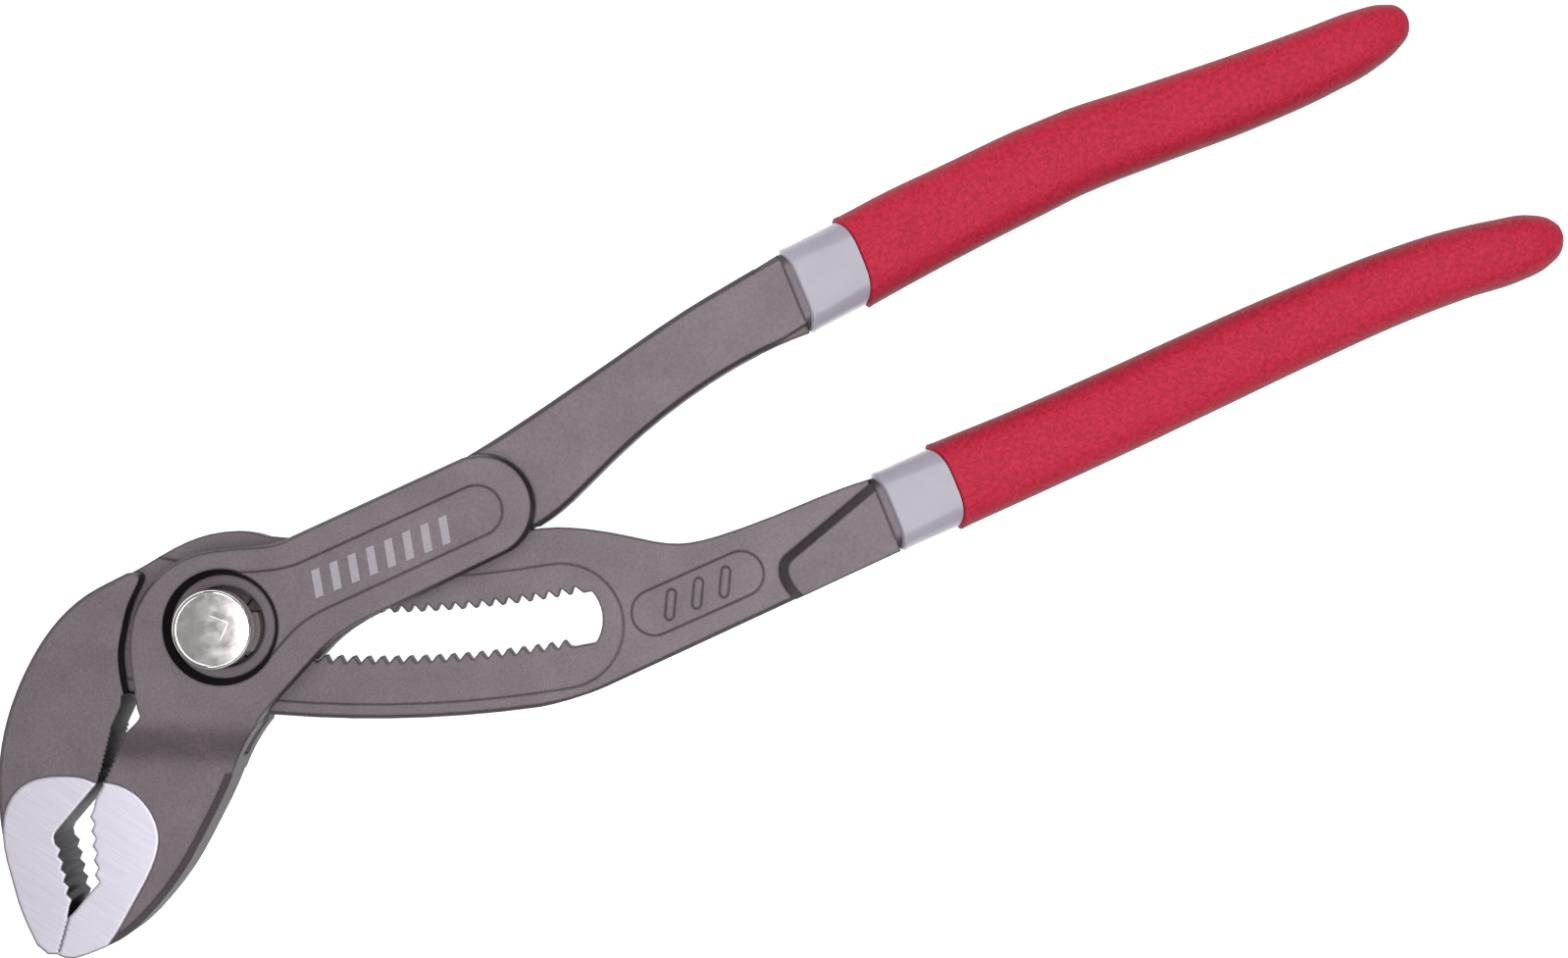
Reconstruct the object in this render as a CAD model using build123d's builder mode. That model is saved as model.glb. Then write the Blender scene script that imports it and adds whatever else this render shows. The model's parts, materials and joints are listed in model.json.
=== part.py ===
from math import asin, ceil, cos, degrees, floor, hypot, radians, sin, sqrt
import os
from build123d import *

# Box-joint water pump pliers with a push-button toothed bolt.
# Origin on the bolt axis at the back face of the box, +X along the grips, +Z towards the button.

# Driving dimensions, in millimetres
box_thickness = 16.0
jaw_thickness = 12.0
shank_thickness = 8.0
arm_thickness = 4.0
ground_step = 0.25          # how far the ground jaw cheeks stand above the forged skin
side_gap = 0.15             # between the arm and each wall of the box
arc_gap = 0.3               # between the arm's long edges and the box
jaw_gap = 0.06              # between the closed jaws' teeth
fine_tooth, pipe_tooth, bite_tooth = 0.25, 0.6, 0.3   # heights of the jaws' three kinds of tooth
slot_radius = 166.4         # of the slot's centre line
slot_slope = 30.0           # the slot's direction at the first notch, below +X
notch_pitch = 2.07
notch_count = 24
tip_half = 3.28             # from the slot's centre line to its tooth tips
tooth_depth = 1.04
tooth_lean = 0.87           # along the slot from a tip to the next valley
tooth_phase = 0.14
tooth_flat = 0.14
bolt_radius = 5.95
bolt_clearance = 0.05
bolt_flat_half = 2.9
mesh_gap = 0.15             # between the bolt's teeth and the slot's
bolt_tooth_height = 3.0
press_travel = 3.1
flange_width = 0.75         # beyond the bolt, below the arm
flange_thickness = 1.0
ring_width = 2.65           # of the sunk ring round the bolt
ring_recess_depth = 2.5
ring_draft = 0.9            # the ring's wall draws in this much on its way down
cap_inset = 0.2             # from the bolt's radius to the cap's
cap_height = 3.3
cap_standoff = 6.7          # from the recess floor to the cap's skirt
cap_rim = 0.35
cap_rim_width = 0.55
cap_socket_depth = 2.2
cap_round = 0.4
arrow_height = 0.2
arrow_start, arrow_head, arrow_end = -2.1, 0.6, 2.6     # along the arrow: its tail, where its head starts, its point
arrow_stem, arrow_half = 1.0, 1.9
bar_near, bar_far = 2.9, 3.7                            # the bar that the arrow points at
cap_wall = 1.55             # round the spigot that the cap is pressed on
neck_step = 0.55            # the stem is this much slimmer above the part that runs in the hole
seat_thickness = 0.5
seat_pip_radius = 1.2
seat_pip_height = 1.2
seat_chamfer = 0.3
spring_play = 0.1           # round the spring in its seat, and round the seat in the bolt
spring_socket = 4.0         # from the cap's skirt down to the top of the spring's bore
disc_ledge = 0.4            # the shoulder in the rear bore that the disc sits on
disc_thickness = 0.8
disc_boss_radius = 4.4
snap_ring_thickness = 0.6
snap_ring_inset = 0.2
snap_ring_groove = 0.5
snap_ring_width = 1.6
snap_ring_opening = 3.4
ear_radius, ear_hole = 1.2, 0.5
ear_inset, ear_rise = 0.7, 1.0      # of the ears from the ring's edge, and from its opening
spring_wire = 0.6
spring_radius = 1.7
spring_turns = 8
lower_grip_length = 99.8
upper_grip_length = 90.8
collar_start = 97.0
collar_length = 9.8
grip_thickness = 10.8
grip_corner = 4.6
collar_corner = 3.2         # where the steel goes in
tip_flatness = 0.35         # the grip's thickness at a tip of no width, as a share of the whole
red_coat = 0.5
grey_coat = 0.65
red_bow, red_bow_margin = 2.1, 4.0   # of the red coat's curved edge, and how far past the handle it is drawn
red_lead = 0.6              # how far before the collar's end that edge starts
opening_angle = 35.0        # of the jaws, at any notch
ramp_length = 8.6           # from the box face down to the jaw
jaw_round = 0.5             # along the slotted lever's jaw
arm_bevel = 0.5
jaw_back_bevel = 1.0        # along the back of the boxed lever's jaw
shank_bevel = 0.6
plate_bevel, plate_draft = 0.35, 1.5
plateau_bevel = 1.2         # round the start of the slotted lever's shank
seam_step = 2.0             # from the shank's faces down to the forging's seam
long_edge, arm_edge, plate_edge, step_edge = 30.0, 11.0, 9.0, 5.0    # the edges bevelled are longer than these
beyond = 200.0              # past every part of the pliers

# Heights worked out from the sizes above
mid = box_thickness / 2
arm_low, arm_high = mid - arm_thickness / 2, mid + arm_thickness / 2
gap_low, gap_high = arm_low - side_gap, arm_high + side_gap
jaw_low, jaw_high = mid - jaw_thickness / 2, mid + jaw_thickness / 2
shank_low, shank_high = mid - shank_thickness / 2, mid + shank_thickness / 2
recess_floor = box_thickness - ring_recess_depth
cap_low = recess_floor + cap_standoff
centre_x = slot_radius * sin(radians(slot_slope))
centre_y = slot_radius * cos(radians(slot_slope))
last_notch = notch_count * notch_pitch
upper_arc = slot_radius - 13.85      # the arm's edge towards the slot's centre
lower_arc = slot_radius + 12.55
flange_radius = bolt_radius + flange_width
ring_recess_radius = bolt_radius + ring_width
cap_radius = bolt_radius - cap_inset
spigot_radius = cap_radius - cap_wall
flat_depth = 0.25                    # the milled track round the slot
pocket_depth = 0.5
panel_depth = 0.7
track_upper, track_lower = 8.3, 10.4
mark_centre, mark_length, mark_width, mark_turn = (66.6, -22.4), 21.0, 6.9, 1.5
mark_bar_length, mark_bar_width, mark_bar_turn, mark_bar_pitch = 4.6, 1.3, 62.0, 4.4
ramp_turn = -114.2                               # the way down the ramp, square to its foot
ramp_start = 13.2                                # from the bolt axis to the top of the ramp
relief_turn = -90 - slot_slope - opening_angle   # the arm's lower edge as the opened box sees it
relief_reach = lower_arc - slot_radius + arc_gap
bolt_hole_radius = bolt_radius + bolt_clearance
rear_bore_radius = flange_radius + 2 * bolt_clearance
disc_radius = rear_bore_radius + disc_ledge
disc_low = snap_ring_inset + snap_ring_thickness
disc_top = disc_low + disc_thickness
seat_rim_radius = spring_radius + spring_wire / 2 + spring_play
spring_bore_radius = seat_rim_radius + spring_play
spring_low = disc_top + seat_thickness
flange_top = arm_low - 2 * bolt_clearance
flange_low = flange_top - flange_thickness
neck_top = recess_floor + press_travel
cap_top = cap_low + cap_height
spring_top = cap_low - spring_socket
bite_start, bite_end = (-37.7, -31.0), (-41.2, -35.4)
slot_end_radius = bolt_radius + 0.45
relief_low = tip_half + tooth_depth + 0.13   # past the ends of the lower row of teeth
relief_high = tip_half - 0.08                # past the ends of the upper row
low_row_reach, high_row_reach = 1.2, 4.2     # of the slot's teeth past the first and last notch
bolt_row_start, bolt_row_end = -4.2, 4.5     # of the bolt's own teeth


def slot_point(along, across):
    """A point by its distance along the slot from the first notch, and across it towards the centre."""
    swing = radians(-slot_slope) + along / slot_radius
    radius = slot_radius - across
    return (centre_x + radius * sin(swing), centre_y - radius * cos(swing))


def arc_point(radius, x):
    """The point at x on the lower half of a circle about the slot's centre."""
    return (x, centre_y - sqrt(radius**2 - (x - centre_x) ** 2))


def arc_between(radius, x_from, x_to):
    ThreePointArc(arc_point(radius, x_from), arc_point(radius, (x_from + x_to) / 2), arc_point(radius, x_to))


def shifted(point, distance):
    """A point moved square to the bite line, towards the boxed lever's jaw."""
    run_x, run_y = bite_end[0] - bite_start[0], bite_end[1] - bite_start[1]
    length = hypot(run_x, run_y)
    return (point[0] - run_y / length * distance, point[1] + run_x / length * distance)


def tooth_row(side, start, end, inset=0.0):
    """Tips and valleys of one side of the slot, between two distances along it."""
    points = []
    for index in range(ceil((start - tooth_phase) / notch_pitch) - 1, floor((end - tooth_phase) / notch_pitch) + 1):
        tip = tooth_phase + index * notch_pitch
        for along, across in [
            (tip - tooth_flat, tip_half),
            (tip + tooth_flat, tip_half),
            (tip + tooth_lean - tooth_flat, tip_half + tooth_depth),
            (tip + tooth_lean + tooth_flat, tip_half + tooth_depth),
        ]:
            if start <= along <= end:
                points.append(slot_point(along, side * (across - inset)))
    return points


def serrate(start, end, count, depth):
    """Pointed teeth from start to end, standing out to the left of the way along."""
    run = Vector(*end) - Vector(*start)
    out = Vector(-run.Y, run.X).normalized() * depth
    points = []
    for index in range(count):
        valley = Vector(*start) + run * (index / count)
        tip = Vector(*start) + run * ((index + 0.5) / count) + out
        points += [(valley.X, valley.Y), (tip.X, tip.Y)]
    return points + [end]


def slotted_outline():
    """The silhouette of the slotted lever as far as the collar."""
    Spline((-43.4, -33.0), (-43.6, -28.0), (-42.6, -18.5), (-38.9, -6.9), (-33.9, 0.8), (-28.9, 5.8),
           (-23.2, 9.8), (-17.0, 12.1), (-10.1, 12.8), (0.0, 13.85), (6.1, 12.7), arc_point(upper_arc, 10.5))
    arc_between(upper_arc, 10.5, 48.5)
    Spline(arc_point(upper_arc, 48.5), (54.1, -6.8), (60.0, -10.4), (66.5, -14.4), (74.1, -15.8), (82.0, -16.1),
           (collar_start, -16.5))
    Polyline((collar_start, -16.5), (collar_start, -28.1), (61.2, -29.6))
    Spline((61.2, -29.6), (56.4, -29.8), (52.2, -29.95), (47.8, -30.1), (43.7, -29.9), arc_point(lower_arc, 38.5))
    arc_between(lower_arc, 38.5, -17.8)
    Polyline(arc_point(lower_arc, -17.8), (-18.4, -5.0), (-21.2, -7.6))
    Polyline(*serrate((-21.2, -7.6), (-25.2, -13.0), 10, fine_tooth))
    Polyline((-25.2, -13.0), (-26.1, -14.3), (-34.4, -18.6), (-35.0, -19.2), (-35.2, -20.2))
    Polyline(*serrate((-35.2, -20.2), (-36.8, -29.6), 5, pipe_tooth))
    Line((-36.8, -29.6), bite_start)
    Polyline(*serrate(bite_start, bite_end, 8, bite_tooth))
    Polyline(bite_end, (-42.4, -34.9), (-43.4, -33.0))


def shoulder_outline():
    """Everything on the jaw side of the shoulder where the slotted lever thins to its arm."""
    Polyline((-60.0, 30.0), (-10.2, 30.0), (-10.2, 12.7))
    Spline((-10.2, 12.7), (-8.7, 11.6), (-10.1, 10.0), (-12.4, 7.7), (-14.3, 5.0), (-15.7, 2.7), (-16.8, -0.4),
           (-17.6, -4.6))
    Polyline((-17.6, -4.6), (-17.6, -50.0), (-60.0, -50.0), (-60.0, 30.0))


def plateau_outline():
    """Everything on the grip side of the step where the arm thickens to the shank."""
    Spline((80.2, -29.4), (78.9, -25.6), (79.3, -23.6), (81.4, -22.0))
    Polyline((81.4, -22.0), (97.9, -16.8), (110.0, -10.0), (110.0, -40.0), (80.2, -40.0), (80.2, -29.4))


def outer_cheek_outline():
    """The ground cheek of the slotted lever's jaw."""
    Spline((-26.2, -14.2), (-27.8, -12.7), (-30.5, -11.3), (-34.0, -10.3), (-37.0, -10.6), (-39.6, -12.3),
           (-41.6, -15.4), (-43.0, -21.5), (-44.5, -30.0))
    Polyline((-44.5, -30.0), (-44.5, -42.0), (-26.2, -42.0), (-26.2, -14.2))


def inner_cheek_outline():
    """The ground cheek of the boxed lever's jaw."""
    Spline((-25.3, -14.4), (-23.2, -15.8), (-21.6, -17.7), (-20.7, -19.8), (-20.3, -22.7), (-20.8, -25.4),
           (-22.4, -27.9), (-24.7, -30.2), (-27.8, -32.7), (-31.2, -35.4), (-34.3, -37.4))
    Polyline((-34.3, -37.4), (-50.0, -42.0), (-50.0, -10.0), (-25.3, -14.4))


def inner_jaw_outline():
    """The boxed lever's jaw, closed by lines that lie inside its box."""
    Spline((-15.8, -4.4), (-15.4, -6.2), (-16.0, -7.6), (-17.3, -8.4), (-18.9, -9.0))
    Polyline(*reversed(serrate((-25.4, -15.0), (-18.9, -9.0), 11, fine_tooth)))
    Polyline((-25.4, -15.0), (-27.1, -16.3), (-28.0, -17.6))
    Polyline(*reversed(serrate((-31.3, -27.9), (-28.0, -17.6), 5, pipe_tooth)))
    Polyline((-31.3, -27.9), (-33.9, -29.2), (-36.3, -30.5), shifted(bite_start, jaw_gap))
    Polyline(*[shifted(point, jaw_gap) for point in serrate(bite_start, bite_end, 8, bite_tooth)])
    Spline(shifted(bite_end, jaw_gap), (-39.6, -36.7), (-36.6, -37.15), (-31.6, -37.0), (-25.5, -34.8),
           (-19.3, -31.2), (-13.9, -26.9), (-8.5, -22.1), (-4.7, -18.3), (-0.8, -15.5))
    Polyline((-0.8, -15.5), (-0.3, -14.8), (-2.0, 0.0), (-15.8, -4.4))


def box_outline():
    """Each side plate of the box."""
    Spline((-15.8, -4.4), (-14.9, -0.8), (-13.2, 3.8), (-10.5, 7.5), (-6.2, 10.4), (0.0, 11.6), (3.8, 10.9),
           (8.0, 9.6), (11.2, 8.6), (14.5, 8.45))
    Line((14.5, 8.45), (42.2, 9.5))
    ThreePointArc((42.2, 9.5), (49.9, 1.8), (42.2, -6.0))
    Line((42.2, -6.0), (27.0, -6.9))
    Spline((27.0, -6.9), (18.0, -7.15), (13.4, -8.2), (7.5, -10.9), (3.8, -12.6), (-0.3, -14.8))
    Polyline((-0.3, -14.8), (-0.8, -15.5), (-16.0, -7.6), (-15.8, -4.4))


def web_outline():
    """The web that joins the side plates above the arm, and the shank as far as the collar."""
    web_arc = upper_arc - arc_gap
    arc_between(web_arc, 15.5, 48.4)
    Spline(arc_point(web_arc, 48.4), (53.5, -2.9), (57.1, -1.5), (65.3, 1.8), (74.7, 4.7), (82.9, 6.4),
           (collar_start, 7.2))
    Line((collar_start, 7.2), (collar_start, 19.7))
    Spline((collar_start, 19.7), (90.0, 18.6), (82.9, 17.6), (70.0, 15.0), (59.4, 12.7), (50.0, 10.8), (42.2, 9.5))
    Polyline((42.2, 9.5), (15.5, 8.485), arc_point(web_arc, 15.5))


def pocket_outline():
    """The sunk panel on the box, open to the ring round the bolt."""
    Spline((2.7, 7.8), (5.4, 6.6), (8.0, 5.6), (11.7, 4.6), (15.9, 4.4))
    Line((15.9, 4.4), (41.2, 5.25))
    ThreePointArc((41.2, 5.25), (45.2, 1.45), (41.2, -2.4))
    Line((41.2, -2.4), (15.9, -3.4))
    Spline((15.9, -3.4), (12.7, -3.7), (10.1, -4.4), (7.5, -5.6), (4.8, -6.9))
    Polyline((4.8, -6.9), (0.0, -4.0), (0.0, 4.0), (2.7, 7.8))


def slot_outline():
    """The toothed slot. Beyond the last tooth of each row a relief leads to a round end."""
    end_angle_low = asin(relief_low / slot_end_radius)
    end_angle_high = asin(relief_high / slot_end_radius)
    low_end = last_notch + slot_end_radius * cos(end_angle_low)
    high_end = last_notch + slot_end_radius * cos(end_angle_high)
    low_side = tooth_row(-1, -low_row_reach, last_notch + low_row_reach + tooth_flat)
    high_side = tooth_row(1, -high_row_reach, last_notch + high_row_reach)
    low_turn, high_turn = low_row_reach + tooth_flat, high_row_reach + tooth_flat / 2
    low_start = slot_point(-slot_end_radius * cos(end_angle_low), -relief_low)
    high_start = slot_point(-slot_end_radius * cos(end_angle_high), relief_high)
    Polyline(low_start, slot_point(-low_turn, -relief_low), *low_side,
             slot_point(last_notch + low_turn, -relief_low), slot_point(low_end, -relief_low))
    ThreePointArc(slot_point(low_end, -relief_low), slot_point(last_notch + slot_end_radius, 0),
                  slot_point(high_end, relief_high))
    Polyline(slot_point(high_end, relief_high), slot_point(last_notch + high_turn, relief_high),
             *reversed(high_side), slot_point(-high_turn, relief_high), high_start)
    ThreePointArc(high_start, slot_point(-slot_end_radius, 0), low_start)


def track_outline():
    """The milled track that the box slides over."""
    first, last = -30.0, last_notch
    Polyline(slot_point(first, -track_lower), slot_point(first, track_upper))
    ThreePointArc(slot_point(first, track_upper), slot_point(0, track_upper), slot_point(last, track_upper))
    middle = (track_upper - track_lower) / 2
    ThreePointArc(slot_point(last, track_upper), slot_point(last + track_upper - middle, middle),
                  slot_point(last, -track_lower))
    ThreePointArc(slot_point(last, -track_lower), slot_point(0, -track_lower), slot_point(first, -track_lower))


def grip_loft(stations, length, inset, mode=Mode.ADD):
    """Rounded-rectangle sections along a handle, each made smaller by inset all round."""
    sections = []
    for fraction, low, high in stations:
        collar_end = collar_start + collar_length
        x = collar_start if fraction < 0 else collar_end + fraction * (length - inset)
        rounding = collar_corner if fraction < 0 else grip_corner
        share = min(1.0, (high - low) / grip_corner / 2)
        width = (high - low) - 2 * inset * share
        thickness = (grip_thickness - 2 * inset) * (tip_flatness + (1 - tip_flatness) * share)
        corner = min(rounding - inset, 0.49 * width, 0.49 * thickness)
        with BuildSketch(Plane.YZ.offset(x)) as section:
            with Locations(((low + high) / 2, mid)):
                RectangleRounded(width, thickness, corner)
        sections.append(section.sketch)
    loft(sections=sections, ruled=True, mode=mode)


# Along each handle: the share of its length, and the lower and upper edge there. -1 is where the collar starts.
lower_stations = [
    (-1, -28.75, -15.4), (0.0, -28.6, -15.1), (0.13, -28.2, -15.15), (0.28, -27.6, -14.9), (0.43, -26.8, -14.4),
    (0.58, -26.0, -14.1), (0.73, -25.5, -14.25), (0.84, -25.8, -15.1), (0.91, -26.4, -16.3), (0.96, -26.0, -17.5),
    (0.988, -24.6, -19.2), (1.0, -22.9, -20.7),
]
upper_stations = [
    (-1, 6.5, 20.7), (0.0, 7.4, 21.5), (0.09, 8.3, 22.3), (0.2, 9.3, 22.8), (0.33, 10.2, 23.4), (0.42, 10.7, 23.4),
    (0.53, 10.5, 22.6), (0.7, 10.0, 21.5), (0.84, 10.4, 20.9), (0.92, 11.3, 20.6), (0.965, 12.6, 19.9),
    (0.99, 14.1, 18.7), (1.0, 15.6, 17.3),
]
coat_depth = red_coat + grey_coat


def clipped(outline, region):
    """The part of one closed outline that lies inside another, as a sketch in the active builder."""
    with BuildLine() as kept:
        outline()
    with BuildLine() as limit:
        region()
    make_face(kept.edges())
    make_face(limit.edges(), mode=Mode.INTERSECT)


def long_edges(piece, heights, shortest, region=lambda centre: True):
    """A piece's edges at these heights that are longer than shortest, with their centres in a region."""
    def wanted(edge):
        centre = edge.center()
        level = min(abs(centre.Z - height) for height in heights) < 0.01
        return level and edge.length > shortest and region(centre)
    return piece.edges().filter_by(wanted)


def both_faces(height, depth):
    """The two sketch planes that cut depth into a plate this far each side of the middle."""
    return [Plane.XY.offset(mid + height - depth), Plane.XY.offset(mid - height)]


# The slotted lever's jaw, rounded along its back.
with BuildPart() as jaw_block:
    with BuildSketch(Plane.XY.offset(jaw_low)):
        clipped(slotted_outline, shoulder_outline)
    extrude(amount=jaw_thickness)
    fillet(long_edges(jaw_block, [jaw_low, jaw_high], long_edge), jaw_round)

# Its shank, sloping down to the arm.
with BuildPart() as plateau:
    with BuildSketch(Plane.XY.offset(shank_low)):
        clipped(slotted_outline, plateau_outline)
    extrude(amount=shank_thickness)
    inner_side = long_edges(plateau, [shank_low, shank_high], step_edge, lambda c: c.Y > -26 and c.X < 95)
    chamfer(inner_side, plateau_bevel)

with BuildPart() as slotted_jaw_lever:
    with BuildSketch(Plane.XY.offset(arm_low)):
        with BuildLine():
            slotted_outline()
        make_face()
    extrude(amount=arm_thickness)
    lower_side = long_edges(slotted_jaw_lever, [arm_low, arm_high], arm_edge, lambda c: c.Y < -22 and c.X > -10)
    chamfer(lower_side, arm_bevel)
    # The milled track on both faces of the arm.
    for plane in both_faces(arm_thickness / 2, flat_depth):
        with BuildSketch(plane):
            with BuildLine():
                track_outline()
            make_face()
        extrude(amount=flat_depth, mode=Mode.SUBTRACT)
    with BuildSketch(Plane.XY.offset(arm_low)):
        with BuildLine():
            slot_outline()
        make_face()
    extrude(amount=arm_thickness, mode=Mode.SUBTRACT)
    # The stadium-shaped mark field with three plain bars left standing.
    for plane in both_faces(arm_thickness / 2, pocket_depth):
        with BuildSketch(plane):
            with Locations(mark_centre):
                SlotOverall(mark_length, mark_width, rotation=mark_turn)
            for step in (-1, 0, 1):
                with Locations((mark_centre[0] + step * mark_bar_pitch, mark_centre[1])):
                    SlotOverall(mark_bar_length, mark_bar_width, rotation=mark_bar_turn, mode=Mode.SUBTRACT)
        extrude(amount=pocket_depth, mode=Mode.SUBTRACT)
    add(jaw_block.part)
    with BuildSketch(Plane.XY.offset(jaw_low - ground_step)):
        clipped(slotted_outline, outer_cheek_outline)
    extrude(amount=jaw_thickness + 2 * ground_step)
    add(plateau.part)
    grip_loft(lower_stations, lower_grip_length, coat_depth)
slotted_jaw_lever.part.label = "slotted_jaw_lever"


def facing(turn, reach):
    """Keep what lies within reach of the bolt axis in the direction turn, in the active sketch."""
    away = reach - beyond
    with Locations((away * cos(radians(turn)), away * sin(radians(turn)))):
        Rectangle(2 * beyond, 2 * beyond, rotation=turn, mode=Mode.INTERSECT)


# The two plates of the box, with drafted edges.
with BuildPart() as side_plates:
    for low, height in [(0.0, gap_low), (gap_high, box_thickness - gap_high)]:
        with BuildSketch(Plane.XY.offset(low)):
            with BuildLine():
                box_outline()
            make_face()
        extrude(amount=height)
    for face in (side_plates.faces().sort_by(Axis.Z)[0], side_plates.faces().sort_by(Axis.Z)[-1]):
        edges = long_edges(side_plates, [face.center().Z], plate_edge, lambda c: c.Y > -8)
        chamfer(edges, plate_bevel, plate_draft, reference=face)

# The web above the arm and the shank, which narrows either side of its seam near the collar.
with BuildPart() as shank:
    with BuildSketch(Plane.XY.offset(shank_low)):
        with BuildLine():
            web_outline()
        make_face()
    extrude(amount=shank_thickness)
    chamfer(long_edges(shank, [shank_low, shank_high], long_edge), shank_bevel)
    # Near the collar the faces draw in above and below the seam.
    for plane in both_faces(shank_thickness / 2, seam_step):
        with BuildSketch(plane):
            with BuildLine():
                Polyline((82.3, 6.0), (collar_start, 8.5), (collar_start, 5.0), (82.3, 5.0), (82.3, 6.0))
            make_face()
            with BuildLine():
                Polyline((92.8, 19.0), (93.1, 18.5), (collar_start, 19.0), (collar_start, 21.0), (92.8, 21.0),
                         (92.8, 19.0))
            make_face()
        extrude(amount=seam_step, mode=Mode.SUBTRACT)

with BuildPart() as outer_jaw_lever:
    # The jaw, cleared in the arm's layer so that the box can slide and open.
    with BuildSketch(Plane.XY.offset(jaw_low)):
        with BuildLine():
            inner_jaw_outline()
        make_face()
    extrude(amount=jaw_thickness)
    chamfer(long_edges(outer_jaw_lever, [jaw_low, jaw_high], long_edge), jaw_back_bevel)
    with BuildSketch(Plane.XY.offset(gap_low)):
        with Locations((centre_x, centre_y)):
            Circle(lower_arc + arc_gap)
    extrude(amount=gap_high - gap_low, mode=Mode.SUBTRACT)
    with BuildSketch(Plane.XY.offset(gap_low)):
        Rectangle(beyond, beyond)
        facing(relief_turn, relief_reach)
    extrude(amount=gap_high - gap_low, mode=Mode.SUBTRACT)
    # The plates, which ramp down to the jaw in an easy curve.
    for low, height in [(0.0, gap_low), (gap_high, box_thickness - gap_high)]:
        with BuildSketch(Plane.XY.offset(low)):
            with BuildLine():
                inner_jaw_outline()
            make_face()
            facing(ramp_turn, ramp_start + ramp_length)
        extrude(amount=height)
    add(side_plates.part)
    ramp_plane = Plane(origin=(0, 0, 0), x_dir=(cos(radians(ramp_turn)), sin(radians(ramp_turn)), 0),
                       z_dir=(sin(radians(ramp_turn)), -cos(radians(ramp_turn)), 0))
    with BuildSketch(ramp_plane):
        for start, end, far in [(box_thickness, jaw_high, box_thickness + beyond), (0.0, jaw_low, -beyond)]:
            with BuildLine():
                Spline((ramp_start, start), (ramp_start + ramp_length / 2, (start + end) / 2),
                       (ramp_start + ramp_length, end), tangents=[(1, 0), (1, 0)])
                Polyline((ramp_start + ramp_length, end), (beyond, end), (beyond, far), (ramp_start, far),
                         (ramp_start, start))
            make_face()
    extrude(amount=beyond, both=True, mode=Mode.SUBTRACT)
    with BuildSketch(Plane.XY.offset(jaw_low - ground_step)):
        clipped(inner_jaw_outline, inner_cheek_outline)
    extrude(amount=jaw_thickness + 2 * ground_step)
    add(shank.part)
    grip_loft(upper_stations, upper_grip_length, coat_depth)
    # The sunk panel, the ring round the button and the hole for the bolt.
    with BuildSketch(Plane.XY.offset(box_thickness - panel_depth)):
        with BuildLine():
            pocket_outline()
        make_face()
    extrude(amount=panel_depth, mode=Mode.SUBTRACT)
    with Locations((0, 0, recess_floor + ring_recess_depth / 2)):
        Cone(ring_recess_radius - ring_draft, ring_recess_radius, ring_recess_depth, mode=Mode.SUBTRACT)
    with Locations((0, 0, box_thickness)):
        Hole(bolt_hole_radius, box_thickness - gap_high)
    # The rear bore, the disc's seat and the snap ring's groove.
    with BuildSketch():
        Circle(rear_bore_radius)
    extrude(amount=gap_low, mode=Mode.SUBTRACT)
    with BuildSketch():
        Circle(disc_radius + bolt_clearance)
    extrude(amount=disc_top, mode=Mode.SUBTRACT)
    with BuildSketch(Plane.XY.offset(snap_ring_inset)):
        Circle(disc_radius + bolt_clearance + snap_ring_groove)
    extrude(amount=snap_ring_thickness, mode=Mode.SUBTRACT)
outer_jaw_lever.part.label = "outer_jaw_lever"


def double_d(radius):
    """A round section with two flats along the slot."""
    Circle(radius)
    Rectangle(2 * radius, 2 * bolt_flat_half, rotation=-slot_slope, mode=Mode.INTERSECT)


with BuildPart() as lock_bolt:
    with BuildSketch(Plane.XY.offset(flange_low)):
        Circle(flange_radius)
    extrude(amount=flange_thickness)
    with BuildSketch(Plane.XY.offset(flange_top)):
        with BuildLine():
            far = slot_end_radius
            high_teeth, low_teeth = [tooth_row(side, bolt_row_start, bolt_row_end, mesh_gap) for side in (1, -1)]
            Polyline(slot_point(-far, bolt_flat_half), *high_teeth, slot_point(far, bolt_flat_half),
                     slot_point(far, -bolt_flat_half), *reversed(low_teeth), slot_point(-far, -bolt_flat_half),
                     slot_point(-far, bolt_flat_half))
        make_face()
        Circle(bolt_radius, mode=Mode.INTERSECT)
    extrude(amount=bolt_tooth_height)
    for low, high, radius in [
        (flange_top + bolt_tooth_height, neck_top, bolt_radius),
        (neck_top, cap_low, bolt_radius - neck_step),
    ]:
        with BuildSketch(Plane.XY.offset(low)):
            double_d(radius)
        extrude(amount=high - low)
    with BuildSketch(Plane.XY.offset(cap_low)):
        double_d(spigot_radius)
    extrude(amount=cap_socket_depth)
    with BuildSketch(Plane.XY.offset(flange_low)):
        Circle(spring_bore_radius)
    extrude(amount=spring_top - flange_low, mode=Mode.SUBTRACT)
lock_bolt.part.label = "lock_bolt"

with BuildPart() as button_cap:
    with BuildSketch(Plane.XY.offset(cap_low)):
        Circle(cap_radius)
    extrude(amount=cap_height)
    fillet(button_cap.edges().group_by(Axis.Z)[-1], cap_round)
    with BuildSketch(Plane.XY.offset(cap_top - cap_rim)):
        Circle(cap_radius - cap_rim_width)
    extrude(amount=cap_rim, mode=Mode.SUBTRACT)
    # A plain arrow pointing at a bar, left standing on the face.
    with BuildSketch(Plane.XY.offset(cap_top - cap_rim)):
        with Locations(((arrow_start + arrow_head) / 2, 0)):
            Rectangle(arrow_head - arrow_start, arrow_stem)
        with BuildLine():
            Polyline((arrow_head, arrow_half), (arrow_end, 0.0), (arrow_head, -arrow_half), (arrow_head, arrow_half))
        make_face()
        with Locations(((bar_near + bar_far) / 2, 0)):
            Rectangle(bar_far - bar_near, 2 * arrow_half)
    extrude(amount=arrow_height)
    with BuildSketch(Plane.XY.offset(cap_low)):
        Circle(spigot_radius)
    extrude(amount=cap_socket_depth, mode=Mode.SUBTRACT)
button_cap.part.label = "button_cap"

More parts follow.
